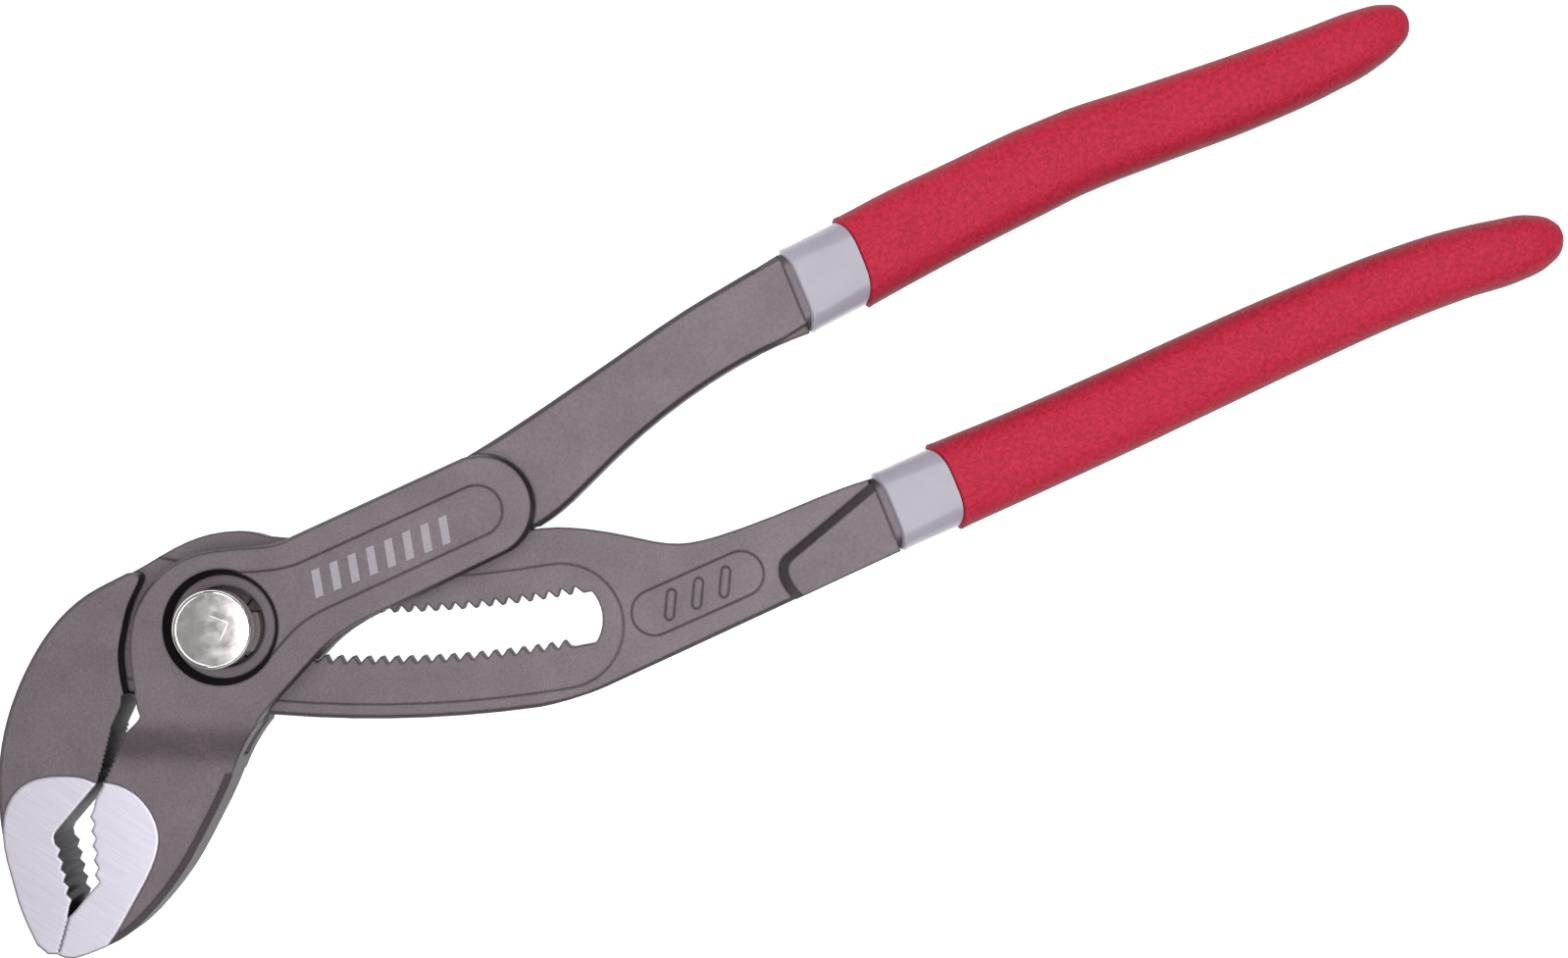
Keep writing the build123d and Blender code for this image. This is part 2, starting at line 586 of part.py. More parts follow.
with BuildPart() as return_spring:
    coil_height = spring_top - spring_low - spring_wire
    with BuildLine():
        coil = Helix(coil_height / spring_turns, coil_height, spring_radius,
                     center=(0, 0, spring_low + spring_wire / 2))
    with BuildSketch(Plane(origin=coil @ 0, z_dir=coil % 0)):
        Circle(spring_wire / 2)
    sweep(path=coil, is_frenet=True)
return_spring.part.label = "return_spring"

with BuildPart() as spring_seat:
    with BuildSketch(Plane.XY.offset(disc_top)):
        Circle(seat_rim_radius)
    extrude(amount=seat_thickness)
    with BuildSketch(Plane.XY.offset(spring_low)):
        Circle(seat_pip_radius)
    extrude(amount=seat_pip_height)
    chamfer(spring_seat.edges().group_by(Axis.Z)[-1], seat_chamfer)
spring_seat.part.label = "spring_seat"

with BuildPart() as rear_cover_disc:
    with BuildSketch(Plane.XY.offset(disc_low)):
        Circle(disc_radius)
    extrude(amount=disc_thickness)
    # The raised middle comes level with the back face, inside the snap ring.
    with BuildSketch():
        Circle(disc_boss_radius)
    extrude(amount=disc_low)
rear_cover_disc.part.label = "rear_cover_disc"

with BuildPart() as rear_snap_ring:
    ring_outer = disc_radius + snap_ring_groove
    with BuildSketch(Plane.XY.offset(snap_ring_inset)):
        Circle(ring_outer)
        Circle(ring_outer - snap_ring_width, mode=Mode.SUBTRACT)
        with Locations((ring_outer - snap_ring_width, 0)):
            Rectangle(3 * snap_ring_width, snap_ring_opening, mode=Mode.SUBTRACT)
        ear_x, ear_y = ring_outer - ear_radius - ear_inset, snap_ring_opening / 2 + ear_rise
        with Locations((ear_x, ear_y), (ear_x, -ear_y)):
            Circle(ear_radius)
        with Locations((ear_x, ear_y), (ear_x, -ear_y)):
            Circle(ear_hole, mode=Mode.SUBTRACT)
    extrude(amount=snap_ring_thickness)
rear_snap_ring.part.label = "rear_snap_ring"


def red_start(low, high):
    """Everything on the jaw side of the curved edge where the second coat starts."""
    below, above = low - red_bow_margin, high + red_bow_margin
    edge_x = collar_start + collar_length - red_lead
    Polyline((edge_x, above), (0.0, above), (0.0, below), (edge_x, below))
    ThreePointArc((edge_x, below), (edge_x + red_bow, (low + high) / 2), (edge_x, above))


def coats(name, stations, length):
    """The grey first coat and the red second coat of one handle."""
    with BuildPart() as grey:
        grip_loft(stations, length, red_coat)
        grip_loft(stations, length, coat_depth, mode=Mode.SUBTRACT)
    grey.part.label = name + "_grey_coat"
    with BuildPart() as red:
        grip_loft(stations, length, 0.0)
        grip_loft(stations, length, red_coat, mode=Mode.SUBTRACT)
        with BuildSketch() as start:
            with BuildLine() as edge:
                red_start(stations[0][1], stations[0][2])
            make_face(edge.edges())
        extrude(start.sketch, amount=box_thickness, mode=Mode.SUBTRACT)
    red.part.label = name + "_red_grip"
    return [grey, red]


pieces = [slotted_jaw_lever, outer_jaw_lever, lock_bolt, button_cap, return_spring, spring_seat, rear_cover_disc,
          rear_snap_ring]
pieces += coats("lower", lower_stations, lower_grip_length)
pieces += coats("upper", upper_stations, upper_grip_length)

os.makedirs("parts", exist_ok=True)
for piece in pieces:
    export_step(piece.part, f"parts/{piece.part.label}.step")
    print(piece.part.label, piece.part.is_valid, round(piece.part.volume, 1), len(piece.solids()))
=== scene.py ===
import json
from math import cos, radians, sin

import bpy
import numpy as np
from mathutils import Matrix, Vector


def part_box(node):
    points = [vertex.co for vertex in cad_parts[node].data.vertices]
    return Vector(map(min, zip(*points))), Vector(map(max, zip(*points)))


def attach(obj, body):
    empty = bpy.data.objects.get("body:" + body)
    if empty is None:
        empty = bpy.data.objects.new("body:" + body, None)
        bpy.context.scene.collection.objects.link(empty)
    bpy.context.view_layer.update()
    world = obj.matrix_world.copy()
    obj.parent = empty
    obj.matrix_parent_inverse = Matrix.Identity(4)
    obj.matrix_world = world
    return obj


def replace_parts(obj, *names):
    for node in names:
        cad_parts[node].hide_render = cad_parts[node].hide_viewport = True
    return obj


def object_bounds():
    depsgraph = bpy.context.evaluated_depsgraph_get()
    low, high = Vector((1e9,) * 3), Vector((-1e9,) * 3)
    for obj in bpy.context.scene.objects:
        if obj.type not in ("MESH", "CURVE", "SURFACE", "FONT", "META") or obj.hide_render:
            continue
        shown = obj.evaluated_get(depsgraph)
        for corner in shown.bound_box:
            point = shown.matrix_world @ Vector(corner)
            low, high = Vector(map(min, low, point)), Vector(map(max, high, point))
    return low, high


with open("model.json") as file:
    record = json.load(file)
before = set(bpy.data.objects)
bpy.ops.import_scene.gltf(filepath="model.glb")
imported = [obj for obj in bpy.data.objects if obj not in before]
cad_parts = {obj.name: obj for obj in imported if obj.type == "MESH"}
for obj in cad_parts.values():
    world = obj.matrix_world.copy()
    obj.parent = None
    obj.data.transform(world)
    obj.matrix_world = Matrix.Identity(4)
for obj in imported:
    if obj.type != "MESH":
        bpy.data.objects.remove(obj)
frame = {"nodes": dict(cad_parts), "record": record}
cadLow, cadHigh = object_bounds()
mm = 0.001
nodes = frame["nodes"]
print("frame loaded:", len(nodes), "nodes")

# Heights read from the frame
leverLow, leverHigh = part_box("slotted_jaw_lever")
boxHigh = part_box("outer_jaw_lever")[1].z
midHeight = (leverLow.z + leverHigh.z) / 2
cheekHalf = (leverHigh.z - leverLow.z) / 2      # from the middle to the ground cheeks


# ---- small helpers

def srgb(hexColour):
    # each channel from sRGB to linear light
    channels = [int(hexColour[i:i + 2], 16) / 255 for i in (1, 3, 5)]
    return (*[c / 12.92 if c <= 0.04045 else ((c + 0.055) / 1.055) ** 2.4 for c in channels], 1.0)


def addNode(tree, kind, inputs=None, **settings):
    # one node, its settings, then its inputs: a socket is linked, anything else is a value
    node = tree.nodes.new(kind)
    for name, value in settings.items():
        setattr(node, name, value)
    for key, value in (inputs or {}).items():
        if isinstance(value, bpy.types.NodeSocket):
            tree.links.new(value, node.inputs[key])
        else:
            node.inputs[key].default_value = value
    return node


# settings of a mix of two colours, whose inputs are 0 for the share and 6 and 7 for the colours
blend = {"data_type": "RGBA"}
multiply = {"data_type": "RGBA", "blend_type": "MULTIPLY"}


def perMetre(size):
    # texture scale that gives features of this many millimetres
    return 1 / (size * mm)


def startMaterial(name, **shader):
    mat = bpy.data.materials.new(name)
    mat.use_nodes = True
    tree = mat.node_tree
    surface = tree.nodes["Principled BSDF"]
    for key, value in shader.items():
        surface.inputs[key.replace("_", " ")].default_value = value
    coords = addNode(tree, "ShaderNodeTexCoord").outputs["Object"]
    return mat, tree, surface, coords


def levelness(tree):
    # 1 where a face lies level, 0 where it stands upright
    shape = addNode(tree, "ShaderNodeNewGeometry")
    facing = addNode(tree, "ShaderNodeSeparateXYZ", {0: shape.outputs["Normal"]})
    return addNode(tree, "ShaderNodeMath", {0: facing.outputs["Z"]}, operation="ABSOLUTE").outputs[0]


def addPiece(name, mesh, material, body):
    mesh.materials.append(material)
    piece = bpy.data.objects.new(name, mesh)
    bpy.context.scene.collection.objects.link(piece)
    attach(piece, body)
    return piece


# ---- materials

steelLook = {
    "dark": "#655c62", "light": "#7c7278", "wearAndHighlight": "#b3aab0",
    "blotch": 7.0, "grain": 0.42, "speckle": 0.18,  # size of the patches and of the grain, the grain's depth
    "edge": 0.55, "wearAndHighlightShare": 0.6, "edgeShade": 0.7,   # reach of the edge mask; share of the paler edges, partly wear and partly painted highlight; tone of the painted shade in a band along each edge
    "paintedShade": 0.22,                              # painted shade: tone left on upright sides
    "ground": "#d6d2dc", "groundDark": "#b0acb8",
    "scratch": 0.14, "scratchTurn": 35.5, "scratchRun": 60,     # width, lean and length of the grinding lines
    "cheekTurn": 114.2, "cheekReach": 22.3,     # the cheeks begin this far from the bolt, this way below +X
    "cheekDepth": 0.1,
}


def forgedSteel():
    # drop-forged chrome vanadium steel, shot-blasted and phosphated: a soft warm grey with a fine sandy
    # grain and paler edges, partly wear and partly painted highlight; painted shade darkens the upright sides
    # and a band along every edge. Its jaw cheeks are ground bright with fine slanted lines. The lines are
    # drawn coarser than real ones, to show
    look = steelLook
    mat, tree, surface, coords = startMaterial("phosphatedForging", Metallic=0.5, Roughness=0.5)
    blotch = addNode(tree, "ShaderNodeTexNoise", {"Vector": coords, "Scale": perMetre(look["blotch"]),
                                                  "Detail": 4.0}).outputs["Fac"]
    grain = addNode(tree, "ShaderNodeTexNoise", {"Vector": coords, "Scale": perMetre(look["grain"]),
                                                 "Detail": 5.0, "Roughness": 0.65}).outputs["Fac"]
    tone = addNode(tree, "ShaderNodeMix", {0: blotch, 6: srgb(look["dark"]), 7: srgb(look["light"])}, **blend)
    speck = addNode(tree, "ShaderNodeMapRange", {"Value": grain, 1: 0.25, 2: 0.75, 3: 1 - look["speckle"],
                                                 4: 1 + look["speckle"]})
    tone = addNode(tree, "ShaderNodeMix", {0: 1.0, 6: tone.outputs[2], 7: speck.outputs[0]}, **multiply)
    # how far the softened edge leans away from the face: 1 out on the face, less towards an edge
    soft = addNode(tree, "ShaderNodeBevel", {"Radius": look["edge"] * mm}, samples=6).outputs[0]
    shape = addNode(tree, "ShaderNodeNewGeometry")
    match = addNode(tree, "ShaderNodeVectorMath", {0: soft, 1: shape.outputs["Normal"]},
                    operation="DOT_PRODUCT").outputs["Value"]
    # paler edges: partly real wear, partly a painted highlight that the edge mask puts on every edge, concave
    # ones too
    wearAndHighlight = addNode(tree, "ShaderNodeMapRange", {"Value": match, 1: 0.92, 2: 0.8, 3: 0.0, 4: look["wearAndHighlightShare"]})
    patchy = addNode(tree, "ShaderNodeMath", {0: wearAndHighlight.outputs[0], 1: blotch}, operation="MULTIPLY")
    tone = addNode(tree, "ShaderNodeMix", {0: patchy.outputs[0], 6: tone.outputs[2], 7: srgb(look["wearAndHighlight"])},
                   **blend)
    # painted shade: upright sides are darkened, and so is a band along every edge; the same side mask also
    # lowers the sides' specular
    side = addNode(tree, "ShaderNodeMapRange", {"Value": levelness(tree), 1: 0.45, 2: 0.985, 3: look["paintedShade"],
                                                4: 1.0}).outputs[0]
    # painted shade: a darker band along every edge, standing in for occlusion
    near = addNode(tree, "ShaderNodeMapRange", {"Value": match, 1: 0.999, 2: 0.96, 3: 1.0, 4: look["edgeShade"]})
    paintedShade = addNode(tree, "ShaderNodeMath", {0: side, 1: near.outputs[0]}, operation="MULTIPLY")
    tone = addNode(tree, "ShaderNodeMix", {0: 1.0, 6: tone.outputs[2], 7: paintedShade.outputs[0]}, **multiply)
    dull = addNode(tree, "ShaderNodeMath", {0: side, 1: 0.5}, operation="MULTIPLY")
    bump = addNode(tree, "ShaderNodeBump", {"Height": grain, "Distance": 0.05 * mm, "Strength": 0.7,
                                            "Normal": soft})
    tree.links.new(tone.outputs[2], surface.inputs["Base Color"])
    tree.links.new(dull.outputs[0], surface.inputs["Specular IOR Level"])
    tree.links.new(bump.outputs[0], surface.inputs["Normal"])
    # the cheeks: bright ground steel where the lever stands at its full thickness, past the ramp
    axes = addNode(tree, "ShaderNodeSeparateXYZ", {0: coords})
    height = addNode(tree, "ShaderNodeMath", {0: axes.outputs["Z"], 1: midHeight}, operation="SUBTRACT")
    height = addNode(tree, "ShaderNodeMath", {0: height.outputs[0]}, operation="ABSOLUTE")
    proud = addNode(tree, "ShaderNodeMath", {0: height.outputs[0], 1: cheekHalf - look["cheekDepth"] * mm},
                    operation="GREATER_THAN")
    turn = radians(-look["cheekTurn"])
    reach = addNode(tree, "ShaderNodeVectorMath", {0: coords, 1: (cos(turn), sin(turn), 0)},
                    operation="DOT_PRODUCT")
    front = addNode(tree, "ShaderNodeMath", {0: reach.outputs["Value"], 1: look["cheekReach"] * mm},
                    operation="GREATER_THAN")
    cheek = addNode(tree, "ShaderNodeMath", {0: proud.outputs[0], 1: front.outputs[0]}, operation="MULTIPLY")
    lean = (0, 0, radians(look["scratchTurn"]))
    lines = addNode(tree, "ShaderNodeMapping", {"Vector": coords, "Rotation": lean,
                                                "Scale": (1, look["scratchRun"], 1)}, vector_type="TEXTURE")
    scratch = addNode(tree, "ShaderNodeTexNoise", {"Vector": lines.outputs[0], "Detail": 3.0,
                                                   "Scale": perMetre(look["scratch"])}).outputs["Fac"]
    bright = addNode(tree, "ShaderNodeMix", {0: scratch, 6: srgb(look["groundDark"]),
                                             7: srgb(look["ground"])}, **blend)
    lined = addNode(tree, "ShaderNodeBump", {"Height": scratch, "Distance": 0.01 * mm, "Strength": 0.5,
                                             "Normal": soft})
    ground = addNode(tree, "ShaderNodeBsdfPrincipled", {"Base Color": bright.outputs[2], "Metallic": 1.0,
                                                        "Roughness": 0.38, "Normal": lined.outputs[0]})
    both = addNode(tree, "ShaderNodeMixShader", {0: cheek.outputs[0], 1: surface.outputs[0],
                                                 2: ground.outputs[0]})
    tree.links.new(both.outputs[0], tree.nodes["Material Output"].inputs["Surface"])
    return mat


hardenedLook = {"dark": "#5c5655", "light": "#857e7c", "marks": 0.5}


def hardenedSteel():
    # turned and hardened steel, oiled: dark, smooth, with faint turning marks
    look = hardenedLook
    mat, tree, surface, coords = startMaterial("oiledHardenedSteel", Metallic=1.0, Roughness=0.32)
    marks = addNode(tree, "ShaderNodeTexNoise", {"Vector": coords, "Scale": perMetre(look["marks"]),
                                                 "Detail": 4.0}).outputs["Fac"]
    tone = addNode(tree, "ShaderNodeMix", {0: marks, 6: srgb(look["dark"]), 7: srgb(look["light"])}, **blend)
    tree.links.new(tone.outputs[2], surface.inputs["Base Color"])
    return mat


chromeLook = {"plate": "#e4dfdd", "haze": 1.5, "clear": 0.05, "hazy": 0.1}


def brightChrome():
    # bright nickel-chrome plate, polished: a mirror with a faint warm cast and a slight haze from handling
    look = chromeLook
    mat, tree, surface, coords = startMaterial("polishedChrome", Metallic=1.0, Base_Color=srgb(look["plate"]))
    haze = addNode(tree, "ShaderNodeTexNoise", {"Vector": coords, "Scale": perMetre(look["haze"]),
                                                "Detail": 3.0}).outputs["Fac"]
    rough = addNode(tree, "ShaderNodeMapRange", {"Value": haze, 1: 0.3, 2: 0.8, 3: look["clear"],
                                                 4: look["hazy"]})
    tree.links.new(rough.outputs[0], surface.inputs["Roughness"])
    return mat


redLook = {
    "fineLow": "#b40e2e", "fineHigh": "#e02a4e", "broadLow": "#c01233", "broadHigh": "#e02a4e",
    "wrinkle": 1.1, "fine": 0.6, "broad": 14, "broadShare": 0.25,
    "side": 0.35,                               # painted shade: tone left where the coat turns upright
}


def redVinyl():
    # plastisol dip coat, matt and finely wrinkled like leather: a deep red that goes pinkish in the light
    look = redLook
    mat, tree, surface, coords = startMaterial("wrinkledRedPlastisol", Roughness=0.6, IOR=1.5,
                                               Specular_IOR_Level=0.35)
    wrinkle = addNode(tree, "ShaderNodeTexVoronoi", {"Vector": coords, "Scale": perMetre(look["wrinkle"]),
                                                     "Randomness": 1.0}, feature="SMOOTH_F1")
    fine = addNode(tree, "ShaderNodeTexNoise", {"Vector": coords, "Scale": perMetre(look["fine"]),
                                                "Detail": 6.0, "Roughness": 0.6,
                                                "Distortion": 0.6}).outputs["Fac"]
    broad = addNode(tree, "ShaderNodeTexNoise", {"Vector": coords, "Scale": perMetre(look["broad"]),
                                                 "Detail": 2.0}).outputs["Fac"]
    crest = addNode(tree, "ShaderNodeMapRange", {"Value": fine, 1: 0.36, 2: 0.64})
    small = addNode(tree, "ShaderNodeMix", {0: crest.outputs[0], 6: srgb(look["fineLow"]),
                                            7: srgb(look["fineHigh"])}, **blend)
    large = addNode(tree, "ShaderNodeMix", {0: broad, 6: srgb(look["broadLow"]), 7: srgb(look["broadHigh"])},
                    **blend)
    tone = addNode(tree, "ShaderNodeMix", {0: look["broadShare"], 6: small.outputs[2], 7: large.outputs[2]},
                   **blend)
    # painted shade: darker where the coat turns down the sides
    sideShade = addNode(tree, "ShaderNodeMapRange", {"Value": levelness(tree), 1: 0.2, 2: 0.95, 3: look["side"],
                                                4: 1.0})
    tone = addNode(tree, "ShaderNodeMix", {0: 1.0, 6: tone.outputs[2], 7: sideShade.outputs[0]}, **multiply)
    tree.links.new(tone.outputs[2], surface.inputs["Base Color"])
    low = addNode(tree, "ShaderNodeBump", {"Height": wrinkle.outputs["Distance"], "Distance": 0.12 * mm,
                                           "Strength": 0.5})
    high = addNode(tree, "ShaderNodeBump", {"Height": fine, "Distance": 0.2 * mm, "Strength": 0.9,
                                            "Normal": low.outputs[0]})
    tree.links.new(high.outputs[0], surface.inputs["Normal"])
    return mat


greyLook = {"low": "#aaa6b3", "high": "#bcb8c4", "cloud": 6}


def greyVinyl():
    # the first plastisol coat, smooth and glossy: a pale lilac grey that takes soft reflections
    look = greyLook
    mat, tree, surface, coords = startMaterial("glossyGreyPlastisol", Roughness=0.22, IOR=1.5)
    cloud = addNode(tree, "ShaderNodeTexNoise", {"Vector": coords, "Scale": perMetre(look["cloud"]),
                                                 "Detail": 3.0}).outputs["Fac"]
    tone = addNode(tree, "ShaderNodeMix", {0: cloud, 6: srgb(look["low"]), 7: srgb(look["high"])}, **blend)
    tree.links.new(tone.outputs[2], surface.inputs["Base Color"])
    return mat


laserLook = {"low": "#98939a", "high": "#c4bfc6", "dots": 0.3}


def laserMark():
    # steel bared by a marking laser: a pale, dead matt grey
    look = laserLook
    mat, tree, surface, coords = startMaterial("laserMarkedSteel", Metallic=0.3, Roughness=0.65)
    dots = addNode(tree, "ShaderNodeTexNoise", {"Vector": coords, "Scale": perMetre(look["dots"]),
                                                "Detail": 3.0}).outputs["Fac"]
    tone = addNode(tree, "ShaderNodeMix", {0: dots, 6: srgb(look["low"]), 7: srgb(look["high"])}, **blend)
    tree.links.new(tone.outputs[2], surface.inputs["Base Color"])
    return mat


slotMaterials = {
    "forged_steel": forgedSteel(), "hardened_steel": hardenedSteel(), "bright_chrome": brightChrome(),
    "grey_vinyl": greyVinyl(), "red_vinyl": redVinyl(),
}
for part in frame["record"]["subparts"]:
    for place in nodes[part["node"]].material_slots:
        place.material = slotMaterials[part["material_slot"]]
print("materials made:", len(slotMaterials))


# ---- dipped handles

handleLook = {
    "around": 144, "along": 220,                # points round and along each coat
    "square": 2.8, "squareStart": 4.4, "settle": 9.0,   # power of the section, squarer at the collar
    "lip": 0.6, "lipPoints": 10, "tuck": 1.3,   # the coats' rounded starting edges
    "roll": 0.12, "rollReach": 0.7,             # the slight bead behind them
    "redStart": 1.4, "redBow": 2.0,             # the red's edge past the collar's end, and how far it bows
    "greyBow": 1.1, "bowFade": 8.0, "bowPower": 1.5,
    "under": 6.0,                               # how far the grey runs on beneath the red
    "tipRound": 0.3, "tipPoint": 0.02,          # the last ring's step back, and its share left at the tip
    "least": 0.02,                              # half width of the smallest ring
}
ringPoints = 100                                # a whole ring of the CAD coat has at least this many corners


def coatRings(node):
    # each ring of the CAD coat's loft as a row: x, centre y, half width, half thickness
    co = np.zeros(len(nodes[node].data.vertices) * 3)
    nodes[node].data.vertices.foreach_get("co", co)
    co = co.reshape(-1, 3)
    keys = np.round(co[:, 0], 5)
    xs, counts = np.unique(keys, return_counts=True)
    return np.array([(x, (r[:, 1].max() + r[:, 1].min()) / 2, np.ptp(r[:, 1]) / 2, np.ptp(r[:, 2]) / 2)
                     for x in xs[counts >= ringPoints] for r in [co[keys == x]]])


def collarRings(side):
    # the grey coat's rings where it starts and where the red coat starts
    rings = coatRings(side + "_grey_coat")
    return rings[[0, np.argmin(np.abs(rings[:, 0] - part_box(side + "_red_grip")[0].x))]]


def handlePath(side):
    # the outer skin from the collar to the tip: the collar's rings grown by the red's thickness,
    # the red coat's outer rings (they alternate with its inner ones), and a rounded tip
    look = handleLook
    red = coatRings(side + "_red_grip")
    thickness = red[1, 3] - red[0, 3]
    start = collarRings(side) + [0, 0, thickness, thickness]
    outer = red[1::2]
    tip = outer[-1] * [1, 1, look["tipPoint"], look["tipPoint"]]
    outer[-1, 0] -= look["tipRound"] * mm
    rows = np.vstack([start, outer, tip])
    # each column is a cubic between neighbouring rows, with slopes from the rows on either side,
    # run by the distance walked in the plane of length and half width
    at = np.concatenate([[0], np.cumsum(np.hypot(np.diff(rows[:, 0]), np.diff(rows[:, 2])))])
    slope = np.gradient(rows, at, axis=0)
    where = np.linspace(0, at[-1], look["along"])
    i = np.clip(np.searchsorted(at, where, side="right") - 1, 0, len(at) - 2)
    gap = (at[i + 1] - at[i])[:, None]
    t = (where - at[i])[:, None] / gap
    path = ((2 * t**3 - 3 * t**2 + 1) * rows[i] + (t**3 - 2 * t**2 + t) * gap * slope[i]
            + (3 * t**2 - 2 * t**3) * rows[i + 1] + (t**3 - t**2) * gap * slope[i + 1])
    # the cubics may swing a little past the CAD part
    path[:, 0] = np.minimum(path[:, 0], tip[0])
    path[:, 2] = np.minimum(path[:, 2], cadHigh.y - path[:, 1])
    return path, thickness


def skinMesh(name, rings):
    # rings is an array (along, around, 3), joined by quads; the first and last close on their centres
    along, around = rings.shape[:2]
    poles = np.array([rings[0].mean(0), rings[-1].mean(0)])
    verts = np.vstack([rings.reshape(-1, 3), poles])
    ring, step = np.meshgrid(np.arange(along - 1), np.arange(around), indexing="ij")
    after = (step + 1) % around
    quads = np.stack([ring * around + step, ring * around + after,
                      (ring + 1) * around + after, (ring + 1) * around + step], -1).reshape(-1, 4)
    base, turn = along * around, np.arange(around)
    back = (turn + 1) % around
    startCap = np.stack([np.full(around, base), back, turn], -1)
    endCap = np.stack([np.full(around, base + 1), base - around + turn, base - around + back], -1)
    mesh = bpy.data.meshes.new(name)
    mesh.from_pydata(verts.tolist(), [], quads.tolist() + startCap.tolist() + endCap.tolist())
    mesh.shade_smooth()
    return mesh


def coat(side, colour, slot, body, path, start, end, depth, bow):
    # a squared-off oval carried along the handle: y is the half width times the cosine and z the half
    # thickness times the sine, each with its size raised to 2 / power. The skin begins tucked inside,
    # comes out round a quarter circle lip, and its edge bows towards the grip where the section is high
    look = handleLook
    curl = np.linspace(0, np.pi / 2, look["lipPoints"])
    lipX = start + (1 - np.cos(curl)) * look["lip"] * mm
    lipRows = np.stack([np.interp(lipX, path[:, 0], column) for column in path.T], -1)
    main = path[(path[:, 0] > lipX[-1] + look["lip"] / 2 * mm) & (path[:, 0] <= end)]
    rows = np.vstack([lipRows, main])
    x = rows[:, 0]
    swell = -depth + look["roll"] * mm * np.exp(-np.abs(x - lipX[-1]) / (look["rollReach"] * mm))
    swell[:look["lipPoints"]] -= look["tuck"] * mm * (1 - np.sin(curl))
    extra = look["squareStart"] - look["square"]
    power = look["square"] + extra * np.exp(-(x - path[0, 0]) / (look["settle"] * mm))
    turn = np.linspace(0, 2 * np.pi, look["around"], endpoint=False)
    c, s = np.cos(turn)[None], np.sin(turn)[None]
    size = np.maximum(rows[:, 2:] + swell[:, None], look["least"] * mm)
    y = rows[:, 1:2] + np.sign(c) * np.abs(c)**(2 / power[:, None]) * size[:, 0:1]
    z = midHeight + np.sign(s) * np.abs(s)**(2 / power[:, None]) * size[:, 1:2]
    fade = np.exp(-np.maximum(x - start, 0) / (look["bowFade"] * mm))
    lean = (bow * mm * fade)[:, None] * np.abs(s)**look["bowPower"]
    name = side + "_" + colour
    mesh = skinMesh(name + "_skin", np.stack([x[:, None] + lean, y, z], -1))
    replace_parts(addPiece(name + "_skin", mesh, slotMaterials[slot], body), name)


for side, body in (("lower", "slotted_lever"), ("upper", "outer_lever")):
    path, thickness = handlePath(side)
    edge = collarRings(side)[1, 0] + (handleLook["redStart"] - handleLook["redBow"]) * mm
    coat(side, "red_grip", "red_vinyl", body, path, edge, path[-1, 0], 0.0, handleLook["redBow"])
    coat(side, "grey_coat", "grey_vinyl", body, path, path[0, 0], edge + handleLook["under"] * mm, thickness,
         handleLook["greyBow"])
print("handles dipped")


# ---- marks on the box

markLook = {"count": 8, "pitch": 2.9, "width": 1.25, "height": 4.0, "lean": 0.9, "start": 14.5, "middle": 0.6,
            "depth": 0.7, "proud": 0.02, "thick": 0.05}


def markBars():
    # leaning bars in a row: each is a thin box, its top shifted along the row by the lean
    look = markLook
    corners = np.array([(0, 0), (1, 0), (1, 1), (0, 1)], float)
    bar = np.stack([corners[:, 0] * look["width"] + corners[:, 1] * look["lean"],
                    (corners[:, 1] - 0.5) * look["height"]], -1)
    top = boxHigh / mm - look["depth"] + look["proud"]
    steps = np.arange(look["count"])
    places = np.stack([look["start"] + steps * look["pitch"], np.full(len(steps), look["middle"])], -1)
    flat = bar[None] + places[:, None]
    layers = [np.dstack([flat, np.full(flat.shape[:2], z)]) for z in (top - look["thick"], top)]
    verts = np.concatenate(layers, 1)
    first = (steps * 8)[:, None, None]
    faces = np.array([(3, 2, 1, 0), (4, 5, 6, 7), (0, 1, 5, 4), (1, 2, 6, 5), (2, 3, 7, 6), (3, 0, 4, 7)])
    mesh = bpy.data.meshes.new("panel_marks")
    mesh.from_pydata((verts.reshape(-1, 3) * mm).tolist(), [], (faces[None] + first).reshape(-1, 4).tolist())
    addPiece("panel_marks", mesh, laserMark(), "outer_lever")


markBars()
print("marks made")


# ---- floor, light and camera

tableLook = {"half": 3.0, "colour": "#fafafa", "glow": 0.8}
half = tableLook["half"]
floorMesh = bpy.data.meshes.new("floor")
floorCorners = [(-half, -half, 0), (half, -half, 0), (half, half, 0), (-half, half, 0)]
floorMesh.from_pydata(floorCorners, [], [(0, 1, 2, 3)])
floor = bpy.data.objects.new("floor", floorMesh)
bpy.context.scene.collection.objects.link(floor)
# a white table lit from within, so that shadows on it are faint
floorMesh.materials.append(startMaterial("whiteTable", Roughness=0.9, Base_Color=srgb(tableLook["colour"]),
                                         Emission_Color=(1, 1, 1, 1), Emission_Strength=tableLook["glow"])[0])

studio = {
    "top": "#b9b7ba", "side": "#2e2b2e", "horizon": "#b4b2b6", "strength": 0.62,
    "sideFrom": 0.04, "sideTo": 0.3, "topFrom": 0.45, "topTo": 0.9,     # how high each turns into the next
}
world = bpy.data.worlds.new("studio")
world.use_nodes = True
bpy.context.scene.world = world
room = world.node_tree
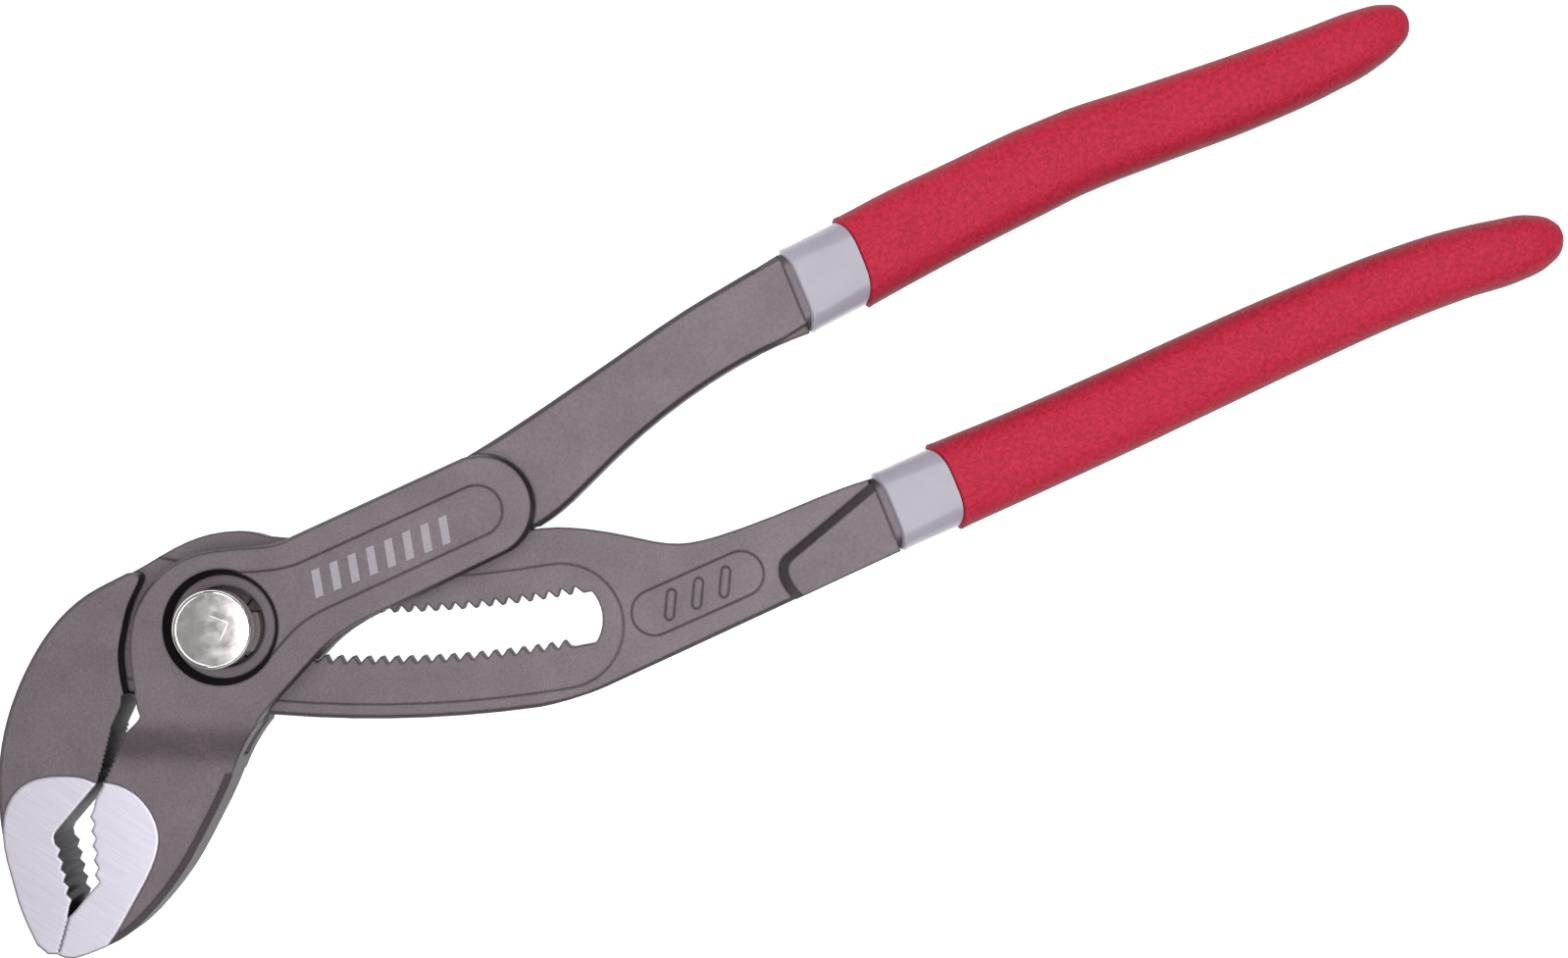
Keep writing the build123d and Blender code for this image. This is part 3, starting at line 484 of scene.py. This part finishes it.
# light from above, a darker band at the sides and a pale horizon
outward = addNode(room, "ShaderNodeTexCoord").outputs["Generated"]
rise = addNode(room, "ShaderNodeSeparateXYZ", {0: outward}).outputs["Z"]
lower = addNode(room, "ShaderNodeMapRange", {"Value": rise, 1: studio["sideFrom"], 2: studio["sideTo"]},
                interpolation_type="SMOOTHSTEP")
upper = addNode(room, "ShaderNodeMapRange", {"Value": rise, 1: studio["topFrom"], 2: studio["topTo"]},
                interpolation_type="SMOOTHSTEP")
sky = addNode(room, "ShaderNodeMix", {0: lower.outputs[0], 6: srgb(studio["horizon"]),
                                      7: srgb(studio["side"])}, **blend)
sky = addNode(room, "ShaderNodeMix", {0: upper.outputs[0], 6: sky.outputs[2],
                                      7: srgb(studio["top"])}, **blend)
room.links.new(sky.outputs[2], room.nodes["Background"].inputs["Color"])
room.nodes["Background"].inputs["Strength"].default_value = studio["strength"]

view = {"place": (0.08504, -0.01157, 0.458), "turn": -22.5, "lens": 68.9}
lamps = {
    # name: place, the point it faces, width and depth in metres, power in watts. With no point
    # the lamp faces straight down, square to the view
    "overhead": ((0.166, -0.057, 0.8), None, 0.62, 0.8, 5.3),
    "leftStrip": ((-0.35, 0.45, 0.35), (0.05, 0, 0), 0.9, 0.15, 0.8),
}
square = (0, 0, radians(view["turn"]))
for name, (place, aim, width, depth, power) in lamps.items():
    lamp = bpy.data.lights.new(name, "AREA")
    lamp.shape, lamp.size, lamp.size_y, lamp.energy = "RECTANGLE", width, depth, power
    holder = bpy.data.objects.new(name, lamp)
    holder.location = place
    holder.rotation_euler = square
    if aim:
        holder.rotation_euler = (Vector(aim) - Vector(place)).to_track_quat("-Z", "Y").to_euler()
    holder.visible_camera = False
    bpy.context.scene.collection.objects.link(holder)

camera = bpy.data.objects.new("camera", bpy.data.cameras.new("camera"))
camera.location = view["place"]
camera.rotation_euler = square
camera.data.lens = view["lens"]
bpy.context.scene.collection.objects.link(camera)
bpy.context.scene.camera = camera
bpy.context.scene.view_settings.view_transform = "Standard"
print("light and camera set")
